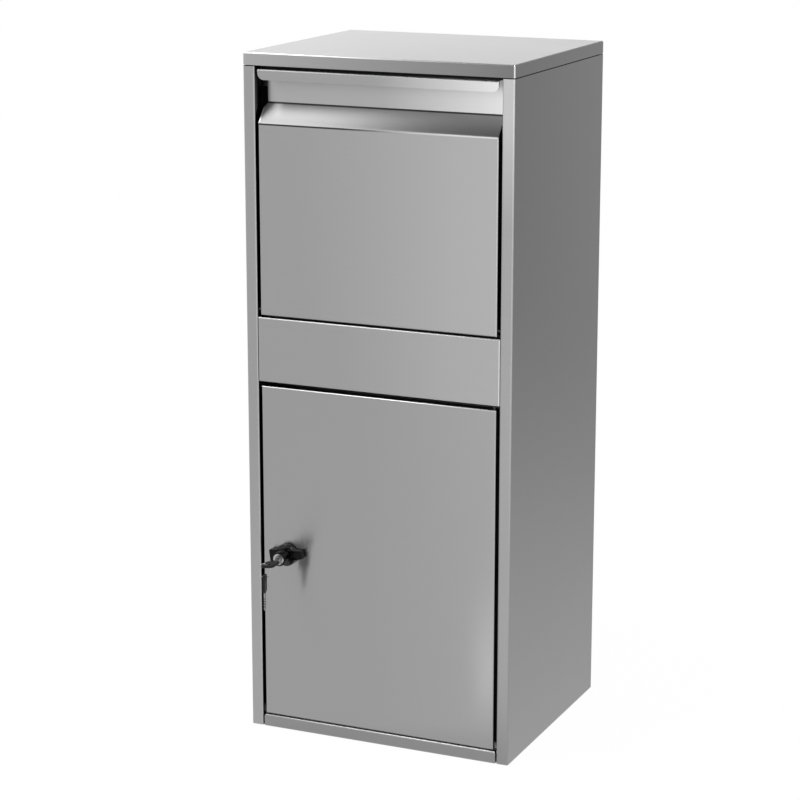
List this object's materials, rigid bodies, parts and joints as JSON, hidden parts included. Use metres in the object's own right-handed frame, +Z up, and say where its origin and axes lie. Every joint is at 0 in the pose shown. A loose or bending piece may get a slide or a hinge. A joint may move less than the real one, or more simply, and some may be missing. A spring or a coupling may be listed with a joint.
{
  "type": "wall mounted mailbox",
  "caption": "Tall wall mounted parcel and letter box in brushed stainless sheet, with a drop flap and chute above and a lockable collection door below.",
  "frame": {"origin": "centre of the cabinet's underside, midway between its front plane and its wall side", "axes": "+X to the viewer's right when facing the door, +Y towards the wall, +Z up"},
  "size_m": [0.41, 0.4244, 1],
  "materials": {
    "body_sheet": "brushed, level grain",
    "inner_sheet": "fine brushed",
    "fastener": "plain zinc bright",
    "buffer": "matt black",
    "lock_black": "glossy black",
    "lock_bright": "polished",
    "key_black": "satin black",
    "key_steel": "bright nickel"
  },
  "bodies": {
    "cabinet": {"left_side_panel": "body_sheet", "right_side_panel": "body_sheet", "back_panel": "body_sheet", "lid": "body_sheet", "floor_pan": "body_sheet", "front_sill": "body_sheet", "middle_panel": "body_sheet", "header_rail": "inner_sheet", "flap_buffers": "buffer", "door_buffers": "buffer", "left_flap_pin": "fastener", "right_flap_pin": "fastener", "hinge_washer": "buffer"},
    "flap": {"flap_skin": "body_sheet", "grip_rail": "body_sheet", "left_cheek": "inner_sheet", "right_cheek": "inner_sheet", "chute_tray": "inner_sheet"},
    "door": {"door_skin": "body_sheet", "door_stiffener": "inner_sheet", "hinge_blocks": "fastener", "upper_hinge_pin": "fastener", "lower_hinge_pin": "fastener", "lock_housing": "lock_bright", "lock_nut": "fastener"},
    "lock_rotor": {"wing_knob": "lock_black", "lock_core": "lock_bright", "lock_cam": "fastener", "cam_washer": "fastener", "cam_screw": "fastener"},
    "key_barrel": {"key_plug": "lock_bright"},
    "key": {"key_head": "key_black", "key_blade": "key_steel"},
    "ring": {"key_ring": "key_steel"},
    "spare_key": {"spare_key_head": "key_black", "spare_key_blade": "key_steel"}
  },
  "joints": [
    {"name": "flap_hinge", "type": "hinge", "parent": "cabinet", "child": "flap", "pos_m": [0, -0.169, 0.6335], "axis": [1, 0, 0], "range_deg": [0, 60]},
    {"name": "door_hinge", "type": "hinge", "parent": "cabinet", "child": "door", "pos_m": [0.178, -0.17, 0.27], "axis": [0, 0, 1], "range_deg": [0, 105]},
    {"name": "lock_turn", "type": "hinge", "parent": "door", "child": "lock_rotor", "pos_m": [-0.1425, -0.175, 0.273], "axis": [0, 1, 0], "range_deg": [0, 90]},
    {"name": "key_turn", "type": "hinge", "parent": "lock_rotor", "child": "key_barrel", "pos_m": [-0.1425, -0.175, 0.273], "axis": [0, 1, 0], "range_deg": [0, 90]},
    {"name": "key_slide", "type": "slide", "parent": "key_barrel", "child": "key", "axis": [0, -1, 0], "range_m": [0, 0.0145]},
    {"name": "ring_swing", "type": "hinge", "parent": "key", "child": "ring", "pos_m": [-0.14823, -0.2393, 0.27206], "axis": [1, 0, 0], "range_deg": [-20, 20]},
    {"name": "spare_swing", "type": "hinge", "parent": "ring", "child": "spare_key", "pos_m": [-0.14823, -0.2393, 0.25525], "axis": [1, 0, 0], "range_deg": [-60, 60]}
  ]
}
